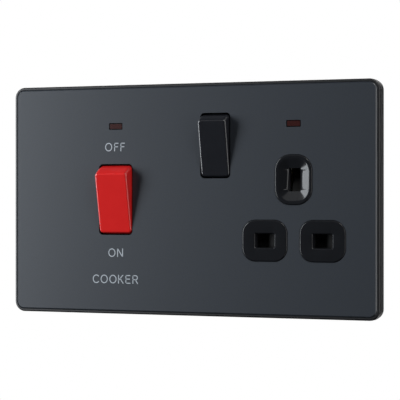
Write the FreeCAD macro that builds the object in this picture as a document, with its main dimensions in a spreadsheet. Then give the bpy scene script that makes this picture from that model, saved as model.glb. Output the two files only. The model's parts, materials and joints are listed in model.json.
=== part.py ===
import FreeCAD, Part
import os
import re
from math import atan2, cos, pi, sin
import Sketcher

# Cooker control unit: a screwless two-gang plate with a double-pole cooker switch on the left
# and a switched three-pin socket on the right. Millimetres. X runs right along the wall, Y into
# the wall and Z up. The origin is midway between the two fixing holes, on the wall. Heights over
# the wall are called out: out = -Y.

sizes = {
    # plate and its layers
    "plate_width": 147.0,
    "plate_height": 86.4,
    "plate_corner": 4.0,
    "plate_out": 5.5,
    "skin_thick": 1.0,
    "skin_bevel": 0.45,
    "rim_wide": 1.1,
    "rim_drop": 0.3,
    "rim_round": 0.6,
    "web_thick": 1.3,
    "carrier_wall": 1.6,
    "frame_thick": 1.9,
    "frame_inset": 0.2,
    "fixing_spacing": 120.6,
    "fixing_hole": 2.1,
    "fixing_recess": 4.2,
    "recess_deep": 0.6,
    "clip_wide": 8.0,
    "clip_thick": 1.0,
    "clip_hook": 0.5,
    "clip_inset": 3.2,
    "clip_spread": 40.0,
    "clip_lift": 0.3,
    "clip_corner": 0.2,
    "flange_thick": 1.2,
    "flange_lap": 1.8,
    # clearances
    "seat_gap": 0.1,
    "free_gap": 0.3,
    "window_gap": 0.2,
    # cooker switch
    "cooker_x": -30.2,
    "cooker_z": 0.0,
    "cooker_window_wide": 14.0,
    "cooker_window_tall": 26.8,
    "cooker_rocker_wide": 13.2,
    "cooker_rocker_reach": 13.1,
    "cooker_rocker_face": 6.74,
    "cooker_pivot_out": 1.5,
    "cooker_tilt": 12.0,
    "cooker_pole": 3.3,
    "cooker_plunger_reach": 7.0,
    "cooker_tip_at": 8.0,
    # socket switch
    "socket_x": 10.4,
    "socket_z": 19.9,
    "socket_window_wide": 12.0,
    "socket_window_tall": 24.2,
    "socket_rocker_wide": 11.2,
    "socket_rocker_reach": 11.8,
    "socket_rocker_face": 5.63,
    "socket_pivot_out": 2.0,
    "socket_tilt": 11.0,
    "socket_pole": 2.9,
    "socket_plunger_reach": 6.2,
    "socket_tip_at": 6.6,
    # both switches
    "window_corner": 1.6,
    "collar_wall": 1.6,
    "well_depth": 4.5,
    "trunnion_radius": 1.5,
    "trunnion_fit": 0.05,
    "bearing_depth": 1.2,
    "rocker_skirt": 2.5,
    "rocker_wall": 1.2,
    "rocker_end_round": 1.2,
    "rocker_face_round": 0.7,
    "rocker_end_wall": 2.0,
    "guide_depth": 4.0,
    "guide_tall": 6.0,
    "guide_corner": 0.8,
    "plunger_radius": 1.7,
    "plunger_fit": 0.08,
    "plunger_top": 0.5,
    "plunger_nose": 1.15,
    "nose_long": 2.6,
    "nose_gap": 0.05,
    "bar_thick": 1.1,
    "bar_wide": 3.8,
    "tip_radius": 1.4,
    "tip_thick": 0.7,
    "tip_gap": 0.08,
    "strip_thick": 1.1,
    "strip_wide": 3.8,
    "strip_clear": 3.3,
    "knife_round": 0.5,
    "knife_foot": 1.4,
    "knife_gap": 0.05,
    "fulcrum_tall": 5.0,
    "fulcrum_shank": 1.25,
    "barrier_thick": 1.0,
    "barrier_over": 4.0,
    "barrier_rise": 1.5,
    # springs
    "plunger_spring_radius": 1.25,
    "plunger_spring_wire": 0.5,
    "shutter_spring_radius": 1.0,
    "shutter_spring_wire": 0.4,
    "spring_room": 1.0,
    "spring_floor": 1.5,
    # rear housings
    "base_tall": 69.0,
    "base_corner": 1.5,
    "base_wall": 1.5,
    "base_back": 23.0,
    "core_deep": 1.6,
    "core_rib": 1.6,
    "core_margin": 3.0,
    "core_corner": 1.0,
    "cooker_base_wide": 44.0,
    "socket_base_left": -4.2,
    "socket_base_right": 59.5,
    "lug_edge": 53.5,
    "lug_half": 6.8,
    "cover_thick": 1.4,
    "cover_round": 0.5,
    "neutral_strip_z": -3.0,
    # terminals
    "terminal_offset": 10.0,
    "terminal_wide": 9.0,
    "terminal_tall": 10.0,
    "terminal_deep": 10.0,
    "tunnel_side": 5.6,
    "tunnel_at": 5.0,
    "tunnel_over": 1.0,
    "terminal_screw": 2.4,
    "screw_fit": 0.05,
    "screw_stands": 1.6,
    "screw_access": 4.0,
    "earth_left_x": 2.0,
    "earth_right_x": 12.0,
    "housing_screw": 1.25,
    "housing_screw_head": 2.4,
    "housing_screw_thick": 1.5,
    "housing_screw_seat": 6.0,
    "screw_inset_x": 3.5,
    "screw_inset_z": 5.5,
    "screw_beside": 0.4,
    "screw_shift": 3.5,
    # busbars
    "busbar_wide": 3.8,
    "busbar_thick": 1.0,
    "busbar_eye": 3.6,
    "cover_margin": 1.0,
    "neutral_run_z": 0.0,
    "live_run_z": -8.0,
    # socket face
    "pins_x": 41.0,
    "pins_z": -15.0,
    "pin_spread": 22.2,
    "earth_rise": 22.2,
    "surround_stand": 0.35,
    "surround_round": 0.5,
    "surround_wide": 17.4,
    "surround_tall": 15.2,
    "surround_corner": 5.0,
    "aperture_wide": 7.3,
    "aperture_tall": 5.1,
    "aperture_bevel": 0.5,
    "earth_surround_wide": 14.3,
    "earth_surround_tall": 18.3,
    "earth_surround_corner": 5.8,
    "funnel_wide": 11.9,
    "funnel_tall": 15.9,
    "funnel_corner": 4.6,
    "funnel_deep": 1.6,
    "earth_slot_wide": 4.6,
    "earth_slot_tall": 8.4,
    "slot_corner": 0.4,
    # shutter
    "shutter_thick": 2.2,
    "shutter_over": 0.7,
    "shutter_travel": 6.5,
    "shutter_stem": 6.8,
    "ramp_wide": 3.8,
    "ramp_deep": 4.0,
    "ramp_heel": 1.0,
    "ramp_lip": 0.6,
    # pin contacts
    "leaf_thick": 0.7,
    "leaf_flare": 0.6,
    "flare_deep": 1.4,
    "pin_thick": 4.0,
    "contact_long": 7.0,
    "contact_front": 3.2,
    "contact_back": 14.0,
    "earth_contact_long": 8.6,
    "earth_contact_front": 4.3,
    "earth_contact_back": 17.6,
    # neons
    "neon_z": 27.6,
    "neon_wide": 5.6,
    "neon_tall": 2.5,
    "neon_corner": 0.3,
    "lens_inset": 0.3,
    "lens_flange_wide": 7.4,
    "lens_flange_tall": 4.4,
    "lens_flange_thick": 1.2,
    "lamp_wall": 1.2,
    "lamp_boss_depth": 6.4,
    "lamp_radius": 2.0,
    "lamp_round": 1.2,
    "lamp_shift": 1.5,
    "resistor_radius": 0.95,
    "resistor_shift": 2.65,
}

doc = FreeCAD.newDocument("cooker_control_unit")
sheet = doc.addObject("Spreadsheet::Sheet", "Sizes")
for row, (alias, number) in enumerate(sizes.items(), 1):
    sheet.set(f"A{row}", alias)
    sheet.set(f"B{row}", str(number))
    sheet.setAlias(f"B{row}", alias)
doc.recompute()

alias_word = re.compile(r"[a-z][a-z_]*")
view_planes = {"front": "XZ_Plane", "side": "YZ_Plane", "top": "XY_Plane"}
up_z = FreeCAD.Vector(0, 0, 1)


def bound(text):
    # a formula over the sheet's aliases, in the form that the document's expressions use
    def name(match):
        word = match.group()
        return "Sizes." + word if word in sizes else word
    return alias_word.sub(name, str(text))


def value(text):
    return float(sheet.evalExpression(bound(text)))


def new_body(label):
    body = doc.addObject("PartDesign::Body", label)
    body.Label = label
    return body


def drive(sketch, constraint, text):
    index = sketch.addConstraint(constraint)
    if bound(text) != str(text):
        sketch.setExpression(f"Constraints[{index}]", bound(text))


def pin_point(sketch, element, end, across, up):
    drive(sketch, Sketcher.Constraint("DistanceX", -1, 1, element, end, value(across)), across)
    drive(sketch, Sketcher.Constraint("DistanceY", -1, 1, element, end, value(up)), up)


def draw_circle(sketch, across, up, radius):
    ring = Part.Circle(FreeCAD.Vector(value(across), value(up), 0), up_z, value(radius))
    index = sketch.addGeometry(ring, False)
    pin_point(sketch, index, 3, across, up)
    drive(sketch, Sketcher.Constraint("Radius", index, value(radius)), radius)


def draw_round_rect(sketch, left, low, right, high, corner):
    # arcs run counter-clockwise from the lower right corner, each joined to a straight side
    centres = [
        (f"({right})-({corner})", f"({low})+({corner})"),
        (f"({right})-({corner})", f"({high})-({corner})"),
        (f"({left})+({corner})", f"({high})-({corner})"),
        (f"({left})+({corner})", f"({low})+({corner})"),
    ]
    radius = value(corner)
    arcs = []
    ends = []
    for turn, (across, up) in enumerate(centres):
        ring = Part.Circle(FreeCAD.Vector(value(across), value(up), 0), up_z, radius)
        arc = Part.ArcOfCircle(ring, (turn - 1) * pi / 2, turn * pi / 2)
        arcs.append(sketch.addGeometry(arc, False))
        ends.append((arc.StartPoint, arc.EndPoint))
    for turn in range(4):
        after = (turn + 1) % 4
        side = sketch.addGeometry(Part.LineSegment(ends[turn][1], ends[after][0]), False)
        sketch.addConstraint(Sketcher.Constraint("Tangent", arcs[turn], 2, side, 1))
        sketch.addConstraint(Sketcher.Constraint("Tangent", side, 2, arcs[after], 1))
    for arc, (across, up) in zip(arcs, centres):
        pin_point(sketch, arc, 3, across, up)
        drive(sketch, Sketcher.Constraint("Radius", arc, radius), corner)


def draw_outline(sketch, corners, arcs=()):
    # corners in order; arcs holds (number of the side, centre across, centre up, radius)
    bends = {side: (across, up, radius) for side, across, up, radius in arcs}
    spots = [FreeCAD.Vector(value(across), value(up), 0) for across, up in corners]
    count = len(corners)
    starts = []
    finishes = []
    for side in range(count):
        start, finish = spots[side], spots[(side + 1) % count]
        if side not in bends:
            starts.append((sketch.addGeometry(Part.LineSegment(start, finish), False), 1))
            finishes.append((starts[-1][0], 2))
            continue
        across, up, radius = bends[side]
        centre = FreeCAD.Vector(value(across), value(up), 0)
        turn_from = atan2(start.y - centre.y, start.x - centre.x)
        turn_to = atan2(finish.y - centre.y, finish.x - centre.x)
        forward = (turn_to - turn_from) % (2 * pi) < pi
        if not forward:
            turn_from, turn_to = turn_to, turn_from
        ring = Part.Circle(centre, up_z, value(radius))
        index = sketch.addGeometry(Part.ArcOfCircle(ring, turn_from, turn_to), False)
        starts.append((index, 1 if forward else 2))
        finishes.append((index, 2 if forward else 1))
        drive(sketch, Sketcher.Constraint("Radius", index, value(radius)), radius)
    for side, (across, up) in enumerate(corners):
        before = finishes[side - 1]
        after = starts[side]
        sketch.addConstraint(Sketcher.Constraint("Coincident", *before, *after))
        pin_point(sketch, *after, across, up)


drawers = {"circle": draw_circle, "rect": draw_round_rect, "outline": draw_outline}


def new_sketch(body, view, height, loops):
    plane = next(item for item in body.Origin.OriginFeatures if item.Role == view_planes[view])
    sketch = body.newObject("Sketcher::SketchObject", "Sketch")
    sketch.AttachmentSupport = (plane, [""])
    sketch.MapMode = "FlatFace"
    sketch.setExpression("AttachmentOffset.Base.z", bound(height))
    for kind, *shape in loops:
        drawers[kind](sketch, *shape)
    return sketch


def grow(body, view, low, high, *loops):
    # adds the loops between two heights over the view's plane
    pad = body.newObject("PartDesign::Pad", "Pad")
    pad.Profile = new_sketch(body, view, low, loops)
    pad.setExpression("Length", bound(f"({high})-({low})"))
    return pad


def carve(body, view, low, high, *loops):
    # takes the loops away between two heights over the view's plane
    pocket = body.newObject("PartDesign::Pocket", "Pocket")
    pocket.Profile = new_sketch(body, view, high, loops)
    pocket.setExpression("Length", bound(f"({high})-({low})"))
    return pocket


def dress(body, kind, amount, test):
    # a fillet or chamfer on the edges that pass the test
    doc.recompute()
    picked = [f"Edge{number}" for number, edge in enumerate(body.Tip.Shape.Edges, 1) if test(edge)]
    feature = body.newObject("PartDesign::" + kind, kind)
    feature.Base = (feature.BaseFeature, picked)
    feature.setExpression("Radius" if kind == "Fillet" else "Size", bound(amount))
    return feature


def lies_at(edge, axis, place, slack=0.01):
    box = edge.BoundBox
    low, high = (box.XMin, box.XMax, box.YMin, box.YMax, box.ZMin, box.ZMax)[2 * axis:2 * axis + 2]
    return abs(low - place) < slack and abs(high - place) < slack


def centred(across, up, wide, tall, corner):
    return (
        "rect", f"({across})-({wide})/2", f"({up})-({tall})/2",
        f"({across})+({wide})/2", f"({up})+({tall})/2", corner,
    )


def grown(loop, gap):
    # the same rounded rectangle, larger by a gap on every side
    kind, left, low, right, high, corner = loop
    return (
        kind, f"({left})-({gap})", f"({low})-({gap})",
        f"({right})+({gap})", f"({high})+({gap})", f"({corner})+({gap})",
    )


def runs(points, wide, gap="0"):
    # one rectangle for each straight run of a flat strip, as long as its turns need
    half = f"({wide})/2+({gap})"
    rects = []
    for (x_from, z_from), (x_to, z_to) in zip(points, points[1:]):
        if value(x_from) > value(x_to):
            x_from, x_to = x_to, x_from
        if value(z_from) > value(z_to):
            z_from, z_to = z_to, z_from
        rects.append((
            "rect", f"({x_from})-({half})", f"({z_from})-({half})",
            f"({x_to})+({half})", f"({z_to})+({half})", "slot_corner",
        ))
    return rects


def place(body, across, out, up, turn=None):
    # puts a piece that was drawn about its own axis on that axis
    body.setExpression("Placement.Base.x", bound(across))
    body.setExpression("Placement.Base.y", bound(f"-({out})"))
    body.setExpression("Placement.Base.z", bound(up))
    if turn is not None:
        body.Placement = FreeCAD.Placement(
            FreeCAD.Vector(value(across), -value(out), value(up)),
            FreeCAD.Rotation(FreeCAD.Vector(1, 0, 0), value(turn)),
        )
        body.setExpression("Placement.Rotation.Angle", bound(turn))


def coil_shape(radius, wire, length, turns=4, chords=10):
    # a compression spring along Z, its square wire bent in short chords
    sections = []
    steps = turns * chords
    for step in range(steps + 1):
        angle = 2 * pi * step / chords
        height = wire / 2 + (length - wire) * step / steps
        ring = []
        for side, rise in ((-1, -1), (1, -1), (1, 1), (-1, 1)):
            reach = radius + side * wire / 2
            ring.append(FreeCAD.Vector(reach * cos(angle), reach * sin(angle), height + rise * wire / 2))
        sections.append(Part.makePolygon(ring + ring[:1]))
    return Part.makeLoft(sections, True, True)


# Heights and places that several pieces share, worked out from the sizes
skin_back = "(plate_out-skin_thick)"
web_back = "(plate_out-skin_thick-web_thick)"
flange_front = "(frame_thick+flange_thick)"
collar_top = "(plate_out-skin_thick-seat_gap)"
base_half = "(base_tall/2)"
terminal_z = "(base_tall/2-base_wall-seat_gap-terminal_tall/2)"
surround_top = "(plate_out+surround_stand)"
earth_z = "(pins_z+earth_rise)"
live_x = "(pins_x+pin_spread/2)"
neutral_x = "(pins_x-pin_spread/2)"
shutter_front = "(frame_thick-free_gap)"
shutter_back = "(frame_thick-free_gap-shutter_thick)"
shutter_seat = "(frame_thick-2*free_gap-shutter_thick)"
shutter_low = "(pins_z-aperture_tall/2-shutter_over)"
shutter_high = "(pins_z+aperture_tall/2+shutter_over)"
spring_foot_z = "(-base_tall/2+base_wall+shutter_spring_wire+spring_floor)"


def bar_axis(switch):
    # the seesaw bars rock on this height
    return f"({switch}_pivot_out-{switch}_plunger_reach-bar_thick-nose_gap)"


def bar_tilt(switch):
    return f"({switch}_tilt/2)"


def fixed_tip_top(switch):
    sink = f"({switch}_tip_at+tip_radius)*sin({bar_tilt(switch)})+tip_thick*cos({bar_tilt(switch)})"
    return f"({bar_axis(switch)}-({sink})-tip_gap)"


def strip_top(switch):
    return f"({fixed_tip_top(switch)}-tip_thick)"


def floor(switch):
    return f"({strip_top(switch)}-strip_thick)"


def pole_x(switch, side):
    return f"({switch}_x+({side})*{switch}_pole)"


def window(switch):
    return centred(
        f"{switch}_x", f"{switch}_z", f"{switch}_window_wide", f"{switch}_window_tall",
        "window_corner",
    )


def neon_window(across):
    return centred(across, "neon_z", "neon_wide", "neon_tall", "neon_corner")


live_surround = centred(
    live_x, "pins_z", "surround_wide", "surround_tall", "surround_corner")
neutral_surround = centred(
    neutral_x, "pins_z", "surround_wide", "surround_tall", "surround_corner")
earth_surround = centred(
    "pins_x", earth_z, "earth_surround_wide", "earth_surround_tall", "earth_surround_corner")
cooker_base_loop = centred("cooker_x", "0", "cooker_base_wide", "base_tall", "base_corner")
apertures = [
    centred(live_x, "pins_z", "aperture_wide", "aperture_tall", "slot_corner"),
    centred(neutral_x, "pins_z", "aperture_wide", "aperture_tall", "slot_corner"),
    centred("pins_x", earth_z, "earth_slot_wide", "earth_slot_tall", "slot_corner"),
]


def socket_base_loop(gap):
    # the socket's housing steps in at the upper right, to leave the fixing lug free
    return ("outline", [
        (f"socket_base_left-({gap})", f"-{base_half}-({gap})"),
        (f"socket_base_right+({gap})", f"-{base_half}-({gap})"),
        (f"socket_base_right+({gap})", f"-lug_half+({gap})"),
        (f"lug_edge+({gap})", f"-lug_half+({gap})"),
        (f"lug_edge+({gap})", f"{base_half}+({gap})"),
        (f"socket_base_left-({gap})", f"{base_half}+({gap})"),
    ])


pole_sides = {"neutral": "-1", "live": "1"}
terminal_sides = {"supply": "-1", "load": "1"}


def terminal_x(pole):
    return f"(cooker_x+({pole_sides[pole]})*terminal_offset)"


def make_face_plate():
    body = new_body("face_plate")
    half_wide = "plate_width/2-rim_wide"
    half_tall = "plate_height/2-rim_wide"
    grow(body, "front", skin_back, "plate_out", (
        "rect", f"-({half_wide})", f"-({half_tall})", half_wide, half_tall, "plate_corner-rim_wide"))
    dress(body, "Chamfer", "skin_bevel", lambda edge: lies_at(edge, 1, -value("plate_out")))
    carve(body, "front", skin_back, "plate_out", window("cooker"), window("socket"),
          neon_window("cooker_x"), neon_window("pins_x"))
    carve(body, "front", skin_back, "plate_out", grown(live_surround, "seat_gap"),
          grown(neutral_surround, "seat_gap"), grown(earth_surround, "seat_gap"))


clip_places = ["-clip_spread", "0", "clip_spread"]


def clip_stem(across, side, gap):
    return centred(
        across, f"({side})*(plate_height/2-clip_inset-clip_thick/2)", f"clip_wide+2*({gap})",
        f"clip_thick+2*({gap})", "clip_corner")


def clip_catch(across, side, gap):
    # stem and hook together, the hook on the side of the plate's middle
    return centred(
        across, f"({side})*(plate_height/2-clip_inset-clip_thick/2-clip_hook/2)",
        f"clip_wide+2*({gap})", f"clip_thick+clip_hook+2*({gap})", "clip_corner")


def make_plate_carrier():
    body = new_body("plate_carrier")
    top = "plate_out-rim_drop"
    grow(body, "front", "frame_thick", top, (
        "rect", "-plate_width/2", "-plate_height/2", "plate_width/2", "plate_height/2",
        "plate_corner"))
    dress(body, "Fillet", "rim_round", lambda edge: lies_at(edge, 1, -value(top)))
    seat_wide = "plate_width/2-rim_wide+window_gap/2"
    seat_tall = "plate_height/2-rim_wide+window_gap/2"
    carve(body, "front", skin_back, top, (
        "rect", f"-({seat_wide})", f"-({seat_tall})", seat_wide, seat_tall,
        "plate_corner-rim_wide"))
    inner_wide = "plate_width/2-carrier_wall"
    inner_tall = "plate_height/2-carrier_wall"
    carve(body, "front", "frame_thick", web_back, (
        "rect", f"-({inner_wide})", f"-({inner_tall})", inner_wide, inner_tall,
        "plate_corner-carrier_wall"))
    collar_gap = "collar_wall+window_gap"
    carve(body, "front", web_back, skin_back, grown(window("cooker"), collar_gap),
          grown(window("socket"), collar_gap), neon_window("cooker_x"), neon_window("pins_x"))
    carve(body, "front", web_back, skin_back, grown(live_surround, "window_gap"),
          grown(neutral_surround, "window_gap"), grown(earth_surround, "window_gap"))
    # snap clips along the top and bottom, each with a hook that catches in the frame
    for side in (-1, 1):
        for across in clip_places:
            grow(body, "front", "clip_lift", web_back, clip_stem(across, side, "0"))
            grow(body, "front", "clip_lift", "clip_lift+clip_hook", clip_catch(across, side, "0"))


def make_mounting_frame():
    body = new_body("mounting_frame")
    half_wide = "plate_width/2-frame_inset"
    half_tall = "plate_height/2-frame_inset"
    grow(body, "front", "0", "frame_thick", (
        "rect", f"-({half_wide})", f"-({half_tall})", half_wide, half_tall,
        "plate_corner-frame_inset"))
    carve(body, "front", "0", "frame_thick", grown(cooker_base_loop, "free_gap"))
    carve(body, "front", "0", "frame_thick", socket_base_loop("free_gap"))
    for across in ("-fixing_spacing/2", "fixing_spacing/2"):
        carve(body, "front", "0", "frame_thick", ("circle", across, "0", "fixing_hole"))
        carve(body, "front", "frame_thick-recess_deep", "frame_thick", (
            "circle", across, "0", "fixing_recess"))
    for side in (-1, 1):
        for across in clip_places:
            carve(body, "front", "0", "frame_thick", clip_stem(across, side, "free_gap"))
            carve(body, "front", "0", "clip_lift+clip_hook+free_gap",
                  clip_catch(across, side, "free_gap"))


def lamp_box(across, extra):
    # the box that holds a neon lamp behind its lens, grown by the extra wall
    return centred(
        across, "neon_z", f"lens_flange_wide+2*window_gap+2*({extra})",
        f"lens_flange_tall+2*window_gap+2*({extra})", "neon_corner")


def add_lamp_box(body, across):
    grow(body, "front", "-lamp_boss_depth", "frame_thick", lamp_box(across, "lamp_wall"))
    carve(body, "front", "-lamp_boss_depth", "frame_thick", lamp_box(across, "0"))
    carve(body, "front", "frame_thick", flange_front, centred(
        across, "neon_z", "neon_wide-window_gap", "neon_tall-window_gap", "neon_corner"))


def add_well(body, switch):
    # the rocker's well: a collar up to the skin, walls below it and a bearing in each side
    grow(body, "front", "-well_depth", collar_top, grown(window(switch), "collar_wall"))
    carve(body, "front", "-well_depth", collar_top, window(switch))
    half = f"({switch}_window_wide/2+bearing_depth)"
    carve(body, "side", f"{switch}_x-{half}", f"{switch}_x+{half}", (
        "circle", f"-{switch}_pivot_out", f"{switch}_z", "trunnion_radius+trunnion_fit"))


def make_cooker_front():
    body = new_body("cooker_front")
    grow(body, "front", "frame_thick", flange_front, grown(cooker_base_loop, "flange_lap"))
    add_well(body, "cooker")
    add_lamp_box(body, "cooker_x")
    carve(body, "front", "frame_thick", flange_front, *(
        ("circle", across, up, "housing_screw+screw_fit/2") for across, up in cooker_screw_spots))


def make_socket_front():
    body = new_body("socket_front")
    grow(body, "front", "frame_thick", flange_front, socket_base_loop("flange_lap"))
    add_well(body, "socket")
    add_lamp_box(body, "pins_x")
    carve(body, "front", "frame_thick", flange_front, *apertures)
    carve(body, "front", "frame_thick", flange_front, *(
        ("circle", across, up, "housing_screw+screw_fit/2") for across, up in socket_screw_spots))


def make_pin_surrounds():
    # three collars on the flange, each round its aperture and standing through the plate
    body = new_body("pin_surrounds")
    grow(body, "front", flange_front, surround_top, live_surround, neutral_surround, earth_surround)
    dress(body, "Fillet", "surround_round", lambda edge: lies_at(edge, 1, -value(surround_top)))
    carve(body, "front", flange_front, surround_top, *apertures)
    half_wide = value("aperture_wide/2") + 0.01
    half_tall = value("aperture_tall/2") + 0.01

    def is_mouth(edge):
        # at the surround's face, on the live or the neutral aperture
        middle = edge.BoundBox.Center
        return (lies_at(edge, 1, -value(surround_top))
                and abs(middle.z - value("pins_z")) < half_tall
                and any(abs(middle.x - value(centre)) < half_wide for centre in (live_x, neutral_x)))
    dress(body, "Chamfer", "aperture_bevel", is_mouth)
    funnel = body.newObject("PartDesign::SubtractiveLoft", "Funnel")
    funnel.Profile = new_sketch(body, "front", surround_top, [
        centred("pins_x", earth_z, "funnel_wide", "funnel_tall", "funnel_corner")])
    funnel.Sections = [new_sketch(body, "front", f"{surround_top}-funnel_deep", [
        centred("pins_x", earth_z, "earth_slot_wide", "earth_slot_tall", "slot_corner")])]


cooker_screw_spots = [
    (f"cooker_x+({side})*(cooker_base_wide/2-screw_inset_x)", f"({rise})*({base_half}-screw_inset_z)")
    for side in (-1, 1) for rise in (-1, 1)
]
# beside the rocker, over the earth surround, left of the neutral one and in the lower corner
socket_screw_spots = [
    ("(socket_x+socket_window_wide/2+collar_wall+pins_x-earth_surround_wide/2)/2", "socket_z"),
    ("pins_x+screw_shift", f"{earth_z}+earth_surround_tall/2+housing_screw+screw_beside"),
    (f"{neutral_x}-surround_wide/2-housing_screw-screw_beside", "pins_z"),
    ("socket_base_right-screw_inset_x", f"-{base_half}+screw_inset_z"),
]


def supply_route(pole):
    across = pole_x("cooker", pole_sides[pole])
    turn = "-(cooker_window_tall/2+collar_wall+strip_clear)"
    return [(across, "cooker_z"), (across, turn), (terminal_x(pole), turn),
            (terminal_x(pole), f"-{terminal_z}")]


def load_route(pole):
    across = pole_x("cooker", pole_sides[pole])
    turn = "cooker_window_tall/2+collar_wall+strip_clear"
    return [(across, "cooker_tip_at"), (across, turn), (terminal_x(pole), turn),
            (terminal_x(pole), terminal_z)]


neutral_route = [
    (pole_x("socket", "-1"), "socket_z+socket_tip_at"),
    ("socket_base_left+base_wall+free_gap+strip_wide/2", "socket_z+socket_tip_at"),
    ("socket_base_left+base_wall+free_gap+strip_wide/2", "neutral_strip_z"),
    (neutral_x, "neutral_strip_z"),
    (neutral_x, "pins_z+pin_thick/2+leaf_thick+strip_wide/2"),
]
live_route = [
    (pole_x("socket", "1"), "socket_z+socket_tip_at"),
    ("lug_edge-base_wall-free_gap-strip_wide/2", "socket_z+socket_tip_at"),
    ("lug_edge-base_wall-free_gap-strip_wide/2", "pins_z+pin_thick/2+leaf_thick+strip_wide/2"),
]
earth_route = [
    ("pins_x", f"{earth_z}-earth_contact_long/2-strip_wide/2"),
    ("pins_x", f"-{terminal_z}"),
    ("earth_left_x", f"-{terminal_z}"),
]
neutral_busbar_route = [
    (terminal_x("neutral"), f"-{terminal_z}"),
    (terminal_x("neutral"), "neutral_run_z"),
    (pole_x("socket", "-1"), "neutral_run_z"),
    (pole_x("socket", "-1"), "socket_z"),
]
live_busbar_route = [
    (terminal_x("live"), f"-{terminal_z}"),
    (terminal_x("live"), "live_run_z"),
    (pole_x("socket", "1"), "live_run_z"),
    (pole_x("socket", "1"), "socket_z"),
]
block_back = f"({floor('cooker')}-terminal_deep)"
earth_block_back = f"({floor('socket')}-terminal_deep)"


def add_strip(body, route, low, high, wide="strip_wide"):
    for rect in runs(route, wide):
        grow(body, "front", low, high, rect)


def carve_channel(body, route, low, high, wide="strip_wide"):
    for rect in runs(route, wide, "free_gap"):
        carve(body, "front", low, high, rect)


def switch_chamber(switch):
    return grown(window(switch), "collar_wall+seat_gap")


def terminal_loop(across, up):
    return centred(across, up, "terminal_wide", "terminal_tall", "slot_corner")


def carve_terminal(body, across, side, low, back):
    # pocket for the block, the cable's way in and the way to the screw
    up = f"({side})*{terminal_z}"
    carve(body, "front", low, "frame_thick", grown(terminal_loop(across, up), "seat_gap"))
    entry = "tunnel_side/2+free_gap"
    middle = f"-(({low})+tunnel_at)"
    gate = ("rect", f"{across}-({entry})", f"{middle}-({entry})",
            f"{across}+({entry})", f"{middle}+({entry})", "slot_corner")
    if side == "1":
        carve(body, "top", f"{base_half}-base_wall-tunnel_over", base_half, gate)
    else:
        carve(body, "top", f"-{base_half}", f"-{base_half}+base_wall+tunnel_over", gate)
    carve(body, "front", back, low, ("circle", across, up, "screw_access"))


def carve_housing_screws(body, spots):
    carve(body, "front", "-base_back", "frame_thick", *(
        ("circle", across, up, "housing_screw+screw_fit") for across, up in spots))
    carve(body, "front", "-base_back", "-housing_screw_seat", *(
        ("circle", across, up, "housing_screw_head+free_gap") for across, up in spots))


def carve_cores(body, left, low, right, high, columns, rows):
    # a field of shallow cores in the thick back, with ribs left between them
    wide = f"(({right})-({left})-{columns - 1}*core_rib)/{columns}"
    tall = f"(({high})-({low})-{rows - 1}*core_rib)/{rows}"
    for column in range(columns):
        across = f"{left}+{wide}*{column + 0.5}+core_rib*{column}"
        carve(body, "front", "-base_back", "-base_back+core_deep", *(
            centred(across, f"{low}+{tall}*{row + 0.5}+core_rib*{row}", wide, tall, "core_corner")
            for row in range(rows)))


def make_cooker_base():
    body = new_body("cooker_base")
    low = floor("cooker")
    grow(body, "front", "-base_back", "frame_thick", cooker_base_loop)
    carve(body, "front", low, "frame_thick", switch_chamber("cooker"))
    for pole in pole_sides:
        carve_channel(body, supply_route(pole), low, "frame_thick")
        carve_channel(body, load_route(pole), low, "frame_thick")
        for side in terminal_sides.values():
            carve_terminal(body, terminal_x(pole), side, block_back, "-base_back")
    carve(body, "front", "-lamp_boss_depth-seat_gap", "frame_thick",
          grown(lamp_box("cooker_x", "lamp_wall"), "seat_gap"))
    for route in (neutral_busbar_route, live_busbar_route):
        carve_channel(body, route[:2] + [("cooker_x+cooker_base_wide/2", route[1][1])],
                      "-base_back", block_back, "busbar_wide")
    carve_housing_screws(body, cooker_screw_spots)
    carve_cores(body, "cooker_x-cooker_base_wide/2+core_margin", "neutral_run_z+busbar_wide+core_rib",
                "cooker_x+cooker_base_wide/2-core_margin", f"{terminal_z}-screw_access-core_rib", 4, 1)
    # the wall between the two poles
    grow(body, "front", low, f"{bar_axis('cooker')}+bar_thick+barrier_rise", centred(
        "cooker_x", "cooker_z", "barrier_thick", "2*(cooker_tip_at+barrier_over)", "slot_corner"))


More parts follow.
